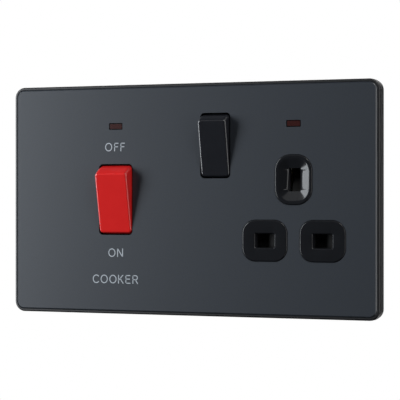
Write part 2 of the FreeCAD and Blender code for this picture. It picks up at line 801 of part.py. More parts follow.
def make_socket_base():
    body = new_body("socket_base")
    low = floor("socket")
    grow(body, "front", "-base_back", "frame_thick", socket_base_loop("0"))
    step_x = value("lug_edge")
    step_z = value("-lug_half")

    def is_outer_corner(edge):
        # an upright edge, other than the one inside the step
        box = edge.BoundBox
        inside = abs(box.XMin - step_x) < 0.01 and abs(box.ZMin - step_z) < 0.01
        return box.YLength > value("base_back") and not inside
    dress(body, "Fillet", "base_corner", is_outer_corner)
    carve(body, "front", low, "frame_thick", switch_chamber("socket"))
    for route in (neutral_route, live_route, earth_route):
        carve_channel(body, route, low, "frame_thick")
    for across in ("earth_left_x", "earth_right_x"):
        carve_terminal(body, across, "-1", earth_block_back, "-base_back")
    carve(body, "front", "-lamp_boss_depth-seat_gap", "frame_thick",
          grown(lamp_box("pins_x", "lamp_wall"), "seat_gap"))
    # room for the shutter's travel behind the apertures
    carve(body, "front", shutter_seat, "frame_thick", (
        "rect", f"{neutral_x}-aperture_wide/2-shutter_over-free_gap",
        f"{shutter_low}-shutter_travel-free_gap",
        f"{live_x}+aperture_wide/2+shutter_over+free_gap", f"{shutter_high}+free_gap",
        "slot_corner"))
    carve(body, "front", shutter_seat, "frame_thick", (
        "rect", "pins_x-shutter_stem/2-free_gap", f"{shutter_high}",
        "pins_x+shutter_stem/2+free_gap", f"{earth_z}+earth_slot_tall/2+shutter_over+free_gap",
        "slot_corner"))
    carve(body, "front", shutter_seat, "frame_thick", (
        "rect", "pins_x-shutter_spring_radius-spring_room", spring_foot_z,
        "pins_x+shutter_spring_radius+spring_room", f"{shutter_low}-shutter_travel",
        "slot_corner"))
    well_wide = "pin_thick+2*(leaf_thick+leaf_flare+free_gap)"
    for across in (live_x, neutral_x):
        carve(body, "front", "-contact_back", "frame_thick", centred(
            across, "pins_z", "contact_long+2*free_gap", well_wide, "slot_corner"))
    carve(body, "front", "-earth_contact_back", "frame_thick", centred(
        "pins_x", earth_z, well_wide, "earth_contact_long+2*free_gap", "slot_corner"))
    carve(body, "front", f"{shutter_front}-ramp_deep-free_gap", "frame_thick", (
        "rect", "pins_x-ramp_wide/2-2*free_gap",
        f"{earth_z}-earth_slot_tall/2-shutter_travel-ramp_heel",
        "pins_x+ramp_wide/2+2*free_gap", earth_z, "slot_corner"))
    for route in (neutral_busbar_route, live_busbar_route):
        carve_channel(body, [("socket_base_left", route[2][1])] + route[2:],
                      "-base_back", block_back, "busbar_wide")
    for side in pole_sides.values():
        carve(body, "front", block_back, low, (
            "circle", pole_x("socket", side), "socket_z", "fulcrum_shank+screw_fit"))
    carve_housing_screws(body, socket_screw_spots)
    way = "housing_screw_head+free_gap+core_rib"
    carve_cores(body, f"{socket_screw_spots[2][0]}+{way}", f"-{base_half}+core_margin",
                "lug_edge-core_margin", f"{socket_screw_spots[1][1]}-({way})", 3, 4)


def add_knife(body, switch, across):
    # the round-nosed edge that the seesaw bar rocks on, standing on its strip
    low, high = f"{across}-bar_wide/2", f"{across}+bar_wide/2"
    foot, nose = f"-{strip_top(switch)}", f"-{bar_axis(switch)}"
    grow(body, "side", low, high, ("outline", [
        (foot, f"{switch}_z-knife_foot"),
        (nose, f"{switch}_z-knife_round"),
        (nose, f"{switch}_z+knife_round"),
        (foot, f"{switch}_z+knife_foot"),
    ]))
    grow(body, "side", low, high, ("circle", nose, f"{switch}_z", "knife_round"))


def make_cooker_strips():
    low, high = floor("cooker"), strip_top("cooker")
    for pole, side in pole_sides.items():
        supply = new_body(f"cooker_supply_strip_{pole}")
        add_strip(supply, supply_route(pole), low, high)
        add_knife(supply, "cooker", pole_x("cooker", side))
        load = new_body(f"cooker_load_strip_{pole}")
        add_strip(load, load_route(pole), low, high)


def make_socket_strips():
    low, high = floor("socket"), strip_top("socket")
    for pole, route in (("neutral", neutral_route), ("live", live_route)):
        body = new_body(f"socket_load_strip_{pole}")
        add_strip(body, route, low, high)
    earth = new_body("earth_strap")
    add_strip(earth, earth_route, low, high)
    for pole, side in pole_sides.items():
        # the fulcrum's shank goes through the housing to the busbar behind it
        body = new_body(f"socket_fulcrum_{pole}")
        across = pole_x("socket", side)
        grow(body, "front", low, high, centred(
            across, "socket_z", "bar_wide", "fulcrum_tall", "slot_corner"))
        add_knife(body, "socket", across)
        grow(body, "front", f"{block_back}-busbar_thick", low, (
            "circle", across, "socket_z", "fulcrum_shank"))


def make_fixed_tips(switch):
    body = new_body(f"{switch}_fixed_tips")
    grow(body, "front", strip_top(switch), fixed_tip_top(switch), *(
        ("circle", pole_x(switch, side), f"{switch}_z+{switch}_tip_at", "tip_radius")
        for side in pole_sides.values()))


def make_bars(switch):
    turn = f"-{bar_tilt(switch)}"
    half = f"({switch}_tip_at+tip_radius+seat_gap)"
    for pole, side in pole_sides.items():
        body = new_body(f"{switch}_contact_bar_{pole}")
        across = f"({side})*{switch}_pole"
        grow(body, "front", "0", "bar_thick", (
            "rect", f"{across}-bar_wide/2", f"-{half}", f"{across}+bar_wide/2", half, "slot_corner"))
        carve(body, "side", f"{across}-bar_wide/2", f"{across}+bar_wide/2", (
            "circle", "0", "0", "knife_round+knife_gap"))
        place(body, f"{switch}_x", bar_axis(switch), f"{switch}_z", turn)
    tips = new_body(f"{switch}_moving_tips")
    grow(tips, "front", "-tip_thick", "0", *(
        ("circle", f"({side})*{switch}_pole", f"{switch}_tip_at", "tip_radius")
        for side in pole_sides.values()))
    place(tips, f"{switch}_x", bar_axis(switch), f"{switch}_z", turn)


def make_rocker(switch):
    # a dished cap about its pivot: flat face, round ends, trunnions and two plunger guides
    body = new_body(f"{switch}_rocker")
    half = f"({switch}_rocker_wide/2)"
    face = f"{switch}_rocker_face"
    reach = f"{switch}_rocker_reach"
    face_end = f"sqrt({reach}^2-{face}^2)"
    skirt_end = f"sqrt({reach}^2-rocker_skirt^2)"
    grow(body, "side", f"-{half}", half, ("outline", [
        (f"-{face}", f"-{face_end}"),
        (f"-{face}", face_end),
        ("rocker_skirt", skirt_end),
        ("rocker_skirt", f"-{skirt_end}"),
    ], [(1, "0", "0", reach), (3, "0", "0", reach)]))
    side_at = value(half)

    def is_end_corner(edge):
        round_end = edge.BoundBox.ZMin * edge.BoundBox.ZMax > 0 and edge.BoundBox.YLength > 1
        return round_end and abs(abs(edge.BoundBox.XMin) - side_at) < 0.01
    dress(body, "Fillet", "rocker_end_round", is_end_corner)
    dress(body, "Fillet", "rocker_face_round", lambda edge: lies_at(edge, 1, -value(face)))
    inner = f"({half}-rocker_wall)"
    roof = f"({face}-rocker_wall)"
    for side in ("-1", "1"):
        near, far = "guide_tall/2", f"{face_end}-rocker_end_wall"
        low, high = (near, far) if side == "1" else (f"-({far})", f"-({near})")
        carve(body, "front", "-rocker_skirt", roof, (
            "rect", f"-{inner}", low, inner, high, "guide_corner"))
    grow(body, "front", "-guide_depth", "0", (
        "rect", f"-{inner}", "-guide_tall/2", inner, "guide_tall/2", "guide_corner"))
    pin_end = f"({switch}_window_wide/2+bearing_depth-seat_gap)"
    grow(body, "side", f"-{pin_end}", pin_end, ("circle", "0", "0", "trunnion_radius"))
    carve(body, "front", "-guide_depth", roof, *(
        ("circle", f"({sign})*{switch}_pole", "0", "plunger_radius+plunger_fit")
        for sign in pole_sides.values()))
    place(body, f"{switch}_x", f"{switch}_pivot_out", f"{switch}_z", f"{switch}_tilt")


def make_plungers(switch):
    for pole, side in pole_sides.items():
        body = new_body(f"{switch}_plunger_{pole}")
        shoulder = f"{switch}_plunger_reach-nose_long"
        round_from = f"{switch}_plunger_reach-plunger_nose"
        sketch = new_sketch(body, "top", "0", [("outline", [
            ("0", "plunger_top"),
            ("plunger_radius", "plunger_top"),
            ("plunger_radius", shoulder),
            ("plunger_nose", shoulder),
            ("plunger_nose", round_from),
            ("0", f"{switch}_plunger_reach"),
        ], [(4, "0", round_from, "plunger_nose")])])
        turned = body.newObject("PartDesign::Revolution", "Turned")
        turned.Profile = sketch
        turned.ReferenceAxis = (sketch, ["V_Axis"])
        turned.Angle = 360
        place(body, pole_x(switch, side), f"{switch}_pivot_out", f"{switch}_z", f"{switch}_tilt")

        # the spring fills the guide above its plunger
        spring = doc.addObject("Part::Feature", f"{switch}_plunger_spring_{pole}")
        spring.Label = f"{switch}_plunger_spring_{pole}"
        gap = value("nose_gap")
        length = value(f"{switch}_rocker_face-rocker_wall+plunger_top") - 2 * gap
        coil = coil_shape(value("plunger_spring_radius"), value("plunger_spring_wire"), length)
        tilt = FreeCAD.Placement(
            FreeCAD.Vector(value(pole_x(switch, side)), -value(f"{switch}_pivot_out"),
                           value(f"{switch}_z")),
            FreeCAD.Rotation(FreeCAD.Vector(1, 0, 0), value(f"{switch}_tilt")),
        )
        stand = FreeCAD.Placement(
            FreeCAD.Vector(0, value("plunger_top") - gap, 0),
            FreeCAD.Rotation(FreeCAD.Vector(1, 0, 0), 90),
        )
        spring.Shape = coil
        spring.Placement = tilt.multiply(stand)


def make_terminal(label, across, side, front):
    # brass block with a square tunnel for the cable and a screw hole from behind
    body = new_body(label)
    up = f"({side})*{terminal_z}"
    back = f"({front}-terminal_deep)"
    grow(body, "front", back, front, terminal_loop(across, up))
    middle = f"-({back}+tunnel_at)"
    half = "tunnel_side/2"
    carve(body, "top", f"{up}-terminal_tall/2", f"{up}+terminal_tall/2", (
        "rect", f"{across}-{half}", f"{middle}-{half}", f"{across}+{half}", f"{middle}+{half}",
        "slot_corner"))
    carve(body, "front", back, f"{back}+tunnel_at", (
        "circle", across, up, "terminal_screw+screw_fit"))


def make_terminals():
    for role, side in terminal_sides.items():
        for pole in pole_sides:
            label = f"cooker_{role}_terminal_{pole}"
            make_terminal(label, terminal_x(pole), side, floor("cooker"))
    make_terminal("earth_terminal_left", "earth_left_x", "-1", floor("socket"))
    make_terminal("earth_terminal_right", "earth_right_x", "-1", floor("socket"))
    screws = new_body("cooker_terminal_screws")
    grow(screws, "front", f"{block_back}-screw_stands", f"{block_back}+tunnel_at-tunnel_side/2", *(
        ("circle", terminal_x(pole), f"({side})*{terminal_z}", "terminal_screw")
        for pole in pole_sides for side in terminal_sides.values()))
    screws = new_body("earth_terminal_screws")
    grow(screws, "front", f"{earth_block_back}-screw_stands",
         f"{earth_block_back}+tunnel_at-tunnel_side/2", *(
             ("circle", across, f"-{terminal_z}", "terminal_screw")
             for across in ("earth_left_x", "earth_right_x")))


def make_busbars():
    for pole, route in (("neutral", neutral_busbar_route), ("live", live_busbar_route)):
        body = new_body(f"{pole}_busbar")
        low, high = f"{block_back}-busbar_thick", block_back
        add_strip(body, route, low, high, "busbar_wide")
        grow(body, "front", low, high, ("circle", *route[0], "busbar_eye"))
        carve(body, "front", low, high, ("circle", *route[0], "terminal_screw+screw_fit"))
        carve(body, "front", low, high, ("circle", *route[3], "fulcrum_shank+screw_fit"))
    cover = new_body("busbar_cover")
    low, high = "-base_back-cover_thick", "-base_back"
    grow(cover, "front", low, high, (
        "rect", f"{terminal_x('neutral')}-busbar_wide", "live_run_z-busbar_wide",
        f"{pole_x('socket', '1')}+busbar_wide", "neutral_run_z+busbar_wide", "base_corner"))
    grow(cover, "front", low, high, (
        "rect", f"{terminal_x('neutral')}-busbar_wide", f"-{terminal_z}+screw_access+cover_margin",
        f"{terminal_x('live')}+busbar_wide", "neutral_run_z+busbar_wide", "base_corner"))
    grow(cover, "front", low, high, (
        "rect", f"{pole_x('socket', '-1')}-busbar_wide", "live_run_z-busbar_wide",
        f"{pole_x('socket', '1')}+busbar_wide", "socket_z+busbar_wide", "base_corner"))
    dress(cover, "Fillet", "cover_round", lambda edge: lies_at(edge, 1, -value(low)))


def make_housing_screws(label, spots):
    body = new_body(label)
    grow(body, "front", "-housing_screw_seat", flange_front, *(
        ("circle", across, up, "housing_screw") for across, up in spots))
    grow(body, "front", "-housing_screw_seat-housing_screw_thick", "-housing_screw_seat", *(
        ("circle", across, up, "housing_screw_head") for across, up in spots))


def make_shutter():
    # blades over the live and neutral apertures, on a stem with the ramp that the earth pin meets
    body = new_body("shutter")
    grow(body, "front", shutter_back, shutter_front, (
        "rect", f"{neutral_x}-aperture_wide/2-shutter_over", shutter_low,
        f"{live_x}+aperture_wide/2+shutter_over", shutter_high, "slot_corner"))
    ramp_low = f"{earth_z}-earth_slot_tall/2"
    ramp_high = f"{earth_z}+earth_slot_tall/2"
    grow(body, "front", shutter_back, shutter_front, (
        "rect", "pins_x-shutter_stem/2", shutter_low, "pins_x+shutter_stem/2", ramp_low,
        "slot_corner"))
    front, back = f"-{shutter_front}", f"-({shutter_front}-ramp_deep)"
    grow(body, "side", "pins_x-ramp_wide/2", "pins_x+ramp_wide/2", ("outline", [
        (front, f"{ramp_low}-ramp_heel"),
        (front, ramp_low),
        (f"{back}-ramp_lip", ramp_high),
        (back, ramp_high),
        (back, ramp_low),
        (f"-{shutter_back}", f"{ramp_low}-ramp_heel"),
    ]))
    spring = doc.addObject("Part::Feature", "shutter_spring")
    spring.Label = "shutter_spring"
    foot = value(spring_foot_z) + value("nose_gap")
    length = value(shutter_low) - value("nose_gap") - foot
    coil = coil_shape(
        value("shutter_spring_radius"), value("shutter_spring_wire"), length, turns=7)
    spring.Shape = coil
    middle = value(f"({shutter_front}+{shutter_back})/2")
    spring.Placement = FreeCAD.Placement(
        FreeCAD.Vector(value("pins_x"), -middle, foot), FreeCAD.Rotation())


def clip_profile(middle, front, back):
    # a folded clip: two leaves joined at the back and flared at the front, as (depth, place)
    inner, outer = "pin_thick/2", "(pin_thick/2+leaf_thick)"
    bend = f"{front}+flare_deep"
    half = [
        (back, outer), (bend, outer), (front, f"{outer}+leaf_flare"),
        (front, f"{inner}+leaf_flare"), (bend, inner), (f"{back}-leaf_thick", inner),
    ]
    return ([(depth, f"{middle}+{across}") for depth, across in half]
            + [(depth, f"{middle}-({across})") for depth, across in reversed(half)])


def make_pin_contacts():
    for pole, across in (("live", live_x), ("neutral", neutral_x)):
        body = new_body(f"{pole}_pin_contact")
        grow(body, "side", f"{across}-contact_long/2", f"{across}+contact_long/2", (
            "outline", clip_profile("pins_z", "contact_front", "contact_back")))
    body = new_body("earth_pin_contact")
    profile = clip_profile("pins_x", "earth_contact_front", "earth_contact_back")
    grow(body, "top", f"{earth_z}-earth_contact_long/2", f"{earth_z}+earth_contact_long/2", (
        "outline", [(across, depth) for depth, across in profile]))


def make_neon(name, across):
    lens = new_body(f"{name}_neon_lens")
    flange_top = "(frame_thick-seat_gap)"
    grow(lens, "front", f"{flange_top}-lens_flange_thick", flange_top, centred(
        across, "neon_z", "lens_flange_wide", "lens_flange_tall", "neon_corner"))
    grow(lens, "front", flange_top, "plate_out-seat_gap", centred(
        across, "neon_z", "neon_wide-2*lens_inset", "neon_tall-2*lens_inset", "neon_corner"))
    lamp_top = f"({flange_top}-lens_flange_thick-free_gap)"
    lamp = new_body(f"{name}_neon_lamp")
    grow(lamp, "front", "-lamp_boss_depth", lamp_top, (
        "circle", f"{across}-lamp_shift", "neon_z", "lamp_radius"))
    dress(lamp, "Fillet", "lamp_round", lambda edge: lies_at(edge, 1, -value(lamp_top)))
    resistor = new_body(f"{name}_resistor")
    grow(resistor, "front", "-lamp_boss_depth", "0", (
        "circle", f"{across}+resistor_shift", "neon_z", "resistor_radius"))


def build():
    make_face_plate()
    make_plate_carrier()
    make_mounting_frame()
    make_cooker_front()
    make_cooker_base()
    make_cooker_strips()
    make_socket_front()
    make_pin_surrounds()
    make_socket_base()
    make_socket_strips()
    for switch in ("cooker", "socket"):
        make_rocker(switch)
        make_plungers(switch)
        make_bars(switch)
        make_fixed_tips(switch)
    make_terminals()
    make_busbars()
    make_housing_screws("cooker_base_screws", cooker_screw_spots)
    make_housing_screws("socket_base_screws", socket_screw_spots)
    make_shutter()
    make_pin_contacts()
    make_neon("cooker", "cooker_x")
    make_neon("socket", "pins_x")
    doc.recompute()


def check():
    # every feature has solved, every pocket has cut, and every piece is a valid solid
    faults = []
    for item in doc.Objects:
        owner = item.getParentGeoFeatureGroup()
        name = f"{owner.Label if owner else ''} {item.Label}"
        if "Invalid" in item.State or "Error" in item.State:
            faults.append(f"{name} did not build")
        elif item.TypeId == "PartDesign::Pocket":
            if item.Shape.Volume > item.BaseFeature.Shape.Volume - 1e-3:
                faults.append(f"{name} cuts nothing")
    if faults:
        raise RuntimeError("; ".join(faults))


def write():
    os.makedirs("parts", exist_ok=True)
    for item in doc.Objects:
        if item.TypeId not in ("PartDesign::Body", "Part::Feature"):
            continue
        if item.Shape.isNull() or not item.Shape.isValid() or not item.Shape.Solids:
            raise RuntimeError(f"{item.Label} has no valid shape")
        item.Shape.exportStep(f"parts/{item.Label}.step")


build()
check()
write()
print(len(os.listdir("parts")), "pieces written")
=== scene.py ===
import json
from math import cos, pi, radians, sin

import bmesh
import bpy
from mathutils import Matrix, Vector


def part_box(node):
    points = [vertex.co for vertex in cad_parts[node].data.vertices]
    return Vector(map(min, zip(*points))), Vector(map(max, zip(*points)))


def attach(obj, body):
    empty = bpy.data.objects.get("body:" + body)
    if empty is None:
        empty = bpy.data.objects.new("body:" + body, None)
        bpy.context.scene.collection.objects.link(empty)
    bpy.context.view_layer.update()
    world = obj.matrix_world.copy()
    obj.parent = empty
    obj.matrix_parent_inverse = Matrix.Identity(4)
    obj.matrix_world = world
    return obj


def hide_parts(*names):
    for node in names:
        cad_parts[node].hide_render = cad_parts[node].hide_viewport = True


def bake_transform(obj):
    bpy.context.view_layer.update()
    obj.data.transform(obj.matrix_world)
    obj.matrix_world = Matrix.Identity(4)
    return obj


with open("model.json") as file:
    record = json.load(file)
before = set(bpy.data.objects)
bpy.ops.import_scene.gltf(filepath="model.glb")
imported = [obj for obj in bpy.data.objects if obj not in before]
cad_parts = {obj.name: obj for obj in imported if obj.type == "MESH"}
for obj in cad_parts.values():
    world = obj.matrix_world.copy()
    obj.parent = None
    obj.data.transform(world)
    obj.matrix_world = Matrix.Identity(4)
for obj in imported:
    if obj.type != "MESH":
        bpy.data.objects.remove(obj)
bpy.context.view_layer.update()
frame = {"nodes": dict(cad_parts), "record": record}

scene = bpy.context.scene
mm = 0.001
print("frame loaded:", len(frame["nodes"]), "nodes")


# Materials. Patterns read Object coordinates, which are metres here.

def fromHex(text):
    # sRGB hex to linear, with full alpha
    channels = [int(text[i:i + 2], 16) / 255 for i in (1, 3, 5)]
    channels = [c / 12.92 if c <= 0.04045 else ((c + 0.055) / 1.055) ** 2.4 for c in channels]
    return (*channels, 1.0)


def addNode(material, kind, settings=None, links=None):
    # a setting is one of the node's own options, or else the value of a socket
    node = material.node_tree.nodes.new("ShaderNode" + kind)
    for name, setting in (settings or {}).items():
        if isinstance(name, str) and hasattr(node, name):
            setattr(node, name, setting)
        else:
            node.inputs[name].default_value = setting
    for name, (source, output) in (links or {}).items():
        material.node_tree.links.new(source.outputs[output], node.inputs[name])
    return node


def startMaterial(name):
    material = bpy.data.materials.new(name)
    material.use_nodes = True
    material.node_tree.nodes.clear()
    return material


def perMm(size):
    return 1000.0 / size  # noise scale whose features are about this many millimetres


noiseRange = {"From Min": 0.3, "From Max": 0.7}  # where most values of a noise texture lie
edgeSamples = 4  # rays that a Bevel node looks along to round an edge


def mouldedPlastic(name, look):
    # thermoplastic or urea, moulded: even colour, a fine spark-eroded texture and soft gloss
    material = startMaterial(name)
    place = addNode(material, "TexCoord")
    grain = addNode(material, "TexNoise", {"Scale": perMm(look["grainMm"]), "Detail": 3.0},
                    {"Vector": (place, "Object")})
    cloud = addNode(material, "TexNoise", {"Scale": perMm(look["cloudMm"]), "Detail": 2.0},
                    {"Vector": (place, "Object")})
    colour = addNode(material, "MixRGB", {
        "Color1": fromHex(look["colour"]), "Color2": fromHex(look["shade"])},
        {"Fac": (cloud, "Fac")})
    gloss = addNode(material, "MapRange", {
        **noiseRange, "To Min": look["roughness"] - look["roughSpread"],
        "To Max": look["roughness"] + look["roughSpread"]}, {"Value": (grain, "Fac")})
    edge = addNode(material, "Bevel", {"samples": edgeSamples, "Radius": look["edgeMm"] * mm})
    bump = addNode(material, "Bump", {
        "Strength": look["bump"], "Distance": look["bumpMm"] * mm},
        {"Height": (grain, "Fac"), "Normal": (edge, "Normal")})
    shader = addNode(material, "BsdfPrincipled", {
        "IOR": 1.5, "Specular IOR Level": look.get("specular", 0.5),
        "Coat Weight": look.get("coat", 0.0), "Coat Roughness": 0.1},
        {"Base Color": (colour, "Color"), "Roughness": (gloss, "Result"),
         "Normal": (bump, "Normal")})
    addNode(material, "OutputMaterial", None, {"Surface": (shader, "BSDF")})
    return material


def workedMetal(name, look):
    # rolled, turned or plated metal: fine scratches along one axis over a cloudy tarnish
    material = startMaterial(name)
    place = addNode(material, "TexCoord")
    stretch = addNode(material, "Mapping", {"Scale": look["stretch"]},
                      {"Vector": (place, "Object")})
    lines = addNode(material, "TexNoise", {"Scale": perMm(look["lineMm"]), "Detail": 4.0},
                    {"Vector": (stretch, "Vector")})
    cloud = addNode(material, "TexNoise", {"Scale": perMm(look["cloudMm"]), "Detail": 3.0},
                    {"Vector": (place, "Object")})
    colour = addNode(material, "MixRGB", {
        "Color1": fromHex(look["colour"]), "Color2": fromHex(look["shade"])},
        {"Fac": (cloud, "Fac")})
    gloss = addNode(material, "MapRange", {
        **noiseRange, "To Min": look["roughness"] - look["roughSpread"],
        "To Max": look["roughness"] + look["roughSpread"]}, {"Value": (lines, "Fac")})
    edge = addNode(material, "Bevel", {"samples": edgeSamples, "Radius": look["edgeMm"] * mm})
    bump = addNode(material, "Bump", {
        "Strength": look["bump"], "Distance": look["bumpMm"] * mm},
        {"Height": (lines, "Fac"), "Normal": (edge, "Normal")})
    shader = addNode(material, "BsdfPrincipled", {"Metallic": 1.0},
                     {"Base Color": (colour, "Color"), "Roughness": (gloss, "Result"),
                      "Normal": (bump, "Normal")})
    addNode(material, "OutputMaterial", None, {"Surface": (shader, "BSDF")})
    return material


def powderCoat(name, look):
    # polyester powder on sheet steel: satin, with a fine even peel and darker specks between
    material = startMaterial(name)
    place = addNode(material, "TexCoord")
    peel = addNode(material, "TexNoise", {"Scale": perMm(look["peelMm"]), "Detail": 2.0},
                   {"Vector": (place, "Object")})
    speck = addNode(material, "TexNoise", {"Scale": perMm(look["speckMm"]), "Detail": 4.0},
                    {"Vector": (place, "Object")})
    tone = addNode(material, "MapRange", {
        "From Min": look["speckFrom"], "From Max": look["speckTo"]}, {"Value": (speck, "Fac")})
    colour = addNode(material, "MixRGB", {
        "Color1": fromHex(look["colour"]), "Color2": fromHex(look["shade"])},
        {"Fac": (tone, "Result")})
    gloss = addNode(material, "MapRange", {
        **noiseRange, "To Min": look["roughness"] - look["roughSpread"],
        "To Max": look["roughness"] + look["roughSpread"]}, {"Value": (speck, "Fac")})
    bump = addNode(material, "Bump", {
        "Strength": look["bump"], "Distance": look["bumpMm"] * mm}, {"Height": (peel, "Fac")})
    shader = addNode(material, "BsdfPrincipled", {
        "Metallic": look["metallic"], "IOR": 1.5},
        {"Base Color": (colour, "Color"), "Roughness": (gloss, "Result"),
         "Normal": (bump, "Normal")})
    addNode(material, "OutputMaterial", None, {"Surface": (shader, "BSDF")})
    return material


def tintedLens(name, look):
    # see-through plastic or glass, its tint a little uneven
    material = startMaterial(name)
    place = addNode(material, "TexCoord")
    cloud = addNode(material, "TexNoise", {"Scale": perMm(look["cloudMm"])},
                    {"Vector": (place, "Object")})
    colour = addNode(material, "MixRGB", {
        "Color1": fromHex(look["colour"]), "Color2": fromHex(look["shade"])},
        {"Fac": (cloud, "Fac")})
    shader = addNode(material, "BsdfPrincipled", {
        "IOR": look["ior"], "Transmission Weight": look["clear"], "Roughness": look["roughness"]},
        {"Base Color": (colour, "Color")})
    addNode(material, "OutputMaterial", None, {"Surface": (shader, "BSDF")})
    return material


# In each look, colour and shade are the two ends of the clouds, and sizes are millimetres. Grain
# and lines that are 0.02 to 0.05 mm in life are drawn at 0.1 to 0.4 mm, because finer ones would
# not show. A metal's lines are drawn out 25 times along one axis.
along = {"x": (0.04, 1.0, 1.0), "y": (1.0, 0.04, 1.0), "z": (1.0, 1.0, 0.04)}

# Polyester powder coat, sprayed and stoved on pressed steel: a satin anthracite whose sheen
# fades evenly across the plate. The peel is 0.5 mm; the specks, 0.04 mm in life, are drawn
# at 0.18 mm so that they show.
coatedFace = powderCoat("anthracite_powder_coat", {
    "colour": "#34383e", "shade": "#2c3035", "peelMm": 0.5, "speckMm": 0.18, "speckFrom": 0.35,
    "speckTo": 0.65, "roughness": 0.34, "roughSpread": 0.04, "bump": 0.1, "bumpMm": 0.02,
    "metallic": 0.0})
# Polycarbonate moulded in a polished tool: a deep black that mirrors the lamps in the earth
# funnel. The grain, 0.03 mm in life, is drawn at 0.12 mm.
blackMoulding = mouldedPlastic("black_polycarbonate", {
    "colour": "#1d1e21", "shade": "#191a1c", "grainMm": 0.12, "cloudMm": 6.0, "roughness": 0.16,
    "roughSpread": 0.03, "bump": 0.12, "bumpMm": 0.02, "edgeMm": 0.04, "specular": 0.22})
# Glass-filled nylon moulded in a spark-eroded tool: a dull black line behind the coated plate.
carrierBlack = mouldedPlastic("black_carrier_moulding", {
    "colour": "#0f1012", "shade": "#0b0b0d", "grainMm": 0.2, "cloudMm": 8.0, "roughness": 0.42,
    "roughSpread": 0.05, "bump": 0.2, "bumpMm": 0.02, "edgeMm": 0.15})
# Urea formaldehyde, compression moulded red: hard, dense colour with a glassy skin that draws
# pale lines along the rounded edges. Both reds hold a painted sheen: their green and blue are
# raised to give the face a faint whitish veil. Its flow marks are 5 mm clouds.
redUrea = mouldedPlastic("red_urea", {
    "colour": "#da2624", "shade": "#d12120", "grainMm": 0.35, "cloudMm": 5.0, "roughness": 0.2,
    "roughSpread": 0.03, "bump": 0.06, "bumpMm": 0.02, "edgeMm": 0.1, "coat": 0.2})
# The same urea in black: nearly even, known by the thin light lines of its edges.
blackUrea = mouldedPlastic("black_urea", {
    "colour": "#1f2024", "shade": "#1b1c20", "grainMm": 0.35, "cloudMm": 5.0, "roughness": 0.2,
    "roughSpread": 0.03, "bump": 0.06, "bumpMm": 0.02, "edgeMm": 0.15, "coat": 0.2})
# Urea formaldehyde for the switch and socket bases: a warm off-white, matt from the mould,
# with faint clouds 9 mm across.
whiteUrea = mouldedPlastic("white_urea_base", {
    "colour": "#e4e2dc", "shade": "#dbd9d2", "grainMm": 0.3, "cloudMm": 9.0, "roughness": 0.5,
    "roughSpread": 0.05, "bump": 0.2, "bumpMm": 0.03, "edgeMm": 0.25})
# Unfilled nylon 66 as moulded: milky and slightly waxy.
naturalNylon = mouldedPlastic("natural_nylon", {
    "colour": "#e9e6da", "shade": "#dfdccd", "grainMm": 0.3, "cloudMm": 3.0, "roughness": 0.38,
    "roughSpread": 0.04, "bump": 0.1, "bumpMm": 0.02, "edgeMm": 0.1})
# Black nylon of the shutter: matt, so the apertures read as dark holes.
shutterNylon = mouldedPlastic("black_nylon_shutter", {
    "colour": "#060607", "shade": "#040405", "grainMm": 0.2, "cloudMm": 3.0, "roughness": 0.6,
    "roughSpread": 0.04, "bump": 0.15, "bumpMm": 0.02, "edgeMm": 0.1})
# Lacquer dipped over a carbon film resistor: tan, with a soft dipped gloss.
resistorLacquer = mouldedPlastic("resistor_lacquer", {
    "colour": "#c8a878", "shade": "#bb9866", "grainMm": 0.4, "cloudMm": 2.0, "roughness": 0.35,
    "roughSpread": 0.05, "bump": 0.1, "bumpMm": 0.03, "edgeMm": 0.1})
# Pressed mild steel, zinc plated and black passivated: a smoky dark metal with rolling lines
# along its length, drawn at 0.3 mm where they are 0.05 mm in life.
platedFrame = workedMetal("black_passivated_steel", {
    "colour": "#3a3a3d", "shade": "#2c2c2f", "lineMm": 0.3, "cloudMm": 12.0, "roughness": 0.46,
    "roughSpread": 0.06, "bump": 0.1, "bumpMm": 0.02, "edgeMm": 0.15, "stretch": along["x"]})
# Bright zinc on turned screws: pale grey metal with faint marks along the shank.
zincSteel = workedMetal("zinc_plated_steel", {
    "colour": "#b9bbb8", "shade": "#9fa3a3", "lineMm": 0.15, "cloudMm": 1.5, "roughness": 0.3,
    "roughSpread": 0.06, "bump": 0.1, "bumpMm": 0.02, "edgeMm": 0.08, "stretch": along["y"]})
# Drawn spring wire: smooth mid-grey metal with fine lines, all laid one way.
springSteel = workedMetal("drawn_spring_wire", {
    "colour": "#a7a8a6", "shade": "#8b8d8c", "lineMm": 0.1, "cloudMm": 1.0, "roughness": 0.28,
    "roughSpread": 0.05, "bump": 0.05, "bumpMm": 0.01, "edgeMm": 0.05, "stretch": along["z"]})
# Half-hard rolled copper strip: salmon, with rolling lines and browner patches 4 mm across.
rolledCopper = workedMetal("rolled_copper", {
    "colour": "#c07a52", "shade": "#a9653f", "lineMm": 0.15, "cloudMm": 4.0, "roughness": 0.3,
    "roughSpread": 0.07, "bump": 0.1, "bumpMm": 0.02, "edgeMm": 0.1, "stretch": along["z"]})
# Free-cutting brass bar, sawn and drilled: yellow metal with cutter lines across its faces.
machinedBrass = workedMetal("machined_brass", {
    "colour": "#c9a45c", "shade": "#b48e48", "lineMm": 0.12, "cloudMm": 3.0, "roughness": 0.27,
    "roughSpread": 0.06, "bump": 0.12, "bumpMm": 0.02, "edgeMm": 0.12, "stretch": along["x"]})
# Silver-cadmium contact tips, coined: the palest metal here, slightly satin.
contactSilver = workedMetal("silver_contact", {
    "colour": "#d8d8d4", "shade": "#c4c5c2", "lineMm": 0.2, "cloudMm": 0.8, "roughness": 0.25,
    "roughSpread": 0.05, "bump": 0.08, "bumpMm": 0.02, "edgeMm": 0.08, "stretch": along["x"]})
# Polycarbonate tinted red: nearly black-red while the lamp behind is out.
neonLens = tintedLens("tinted_polycarbonate", {
    "colour": "#3c1613", "shade": "#32110f", "cloudMm": 1.5, "clear": 0.2, "roughness": 0.25,
    "ior": 1.58})
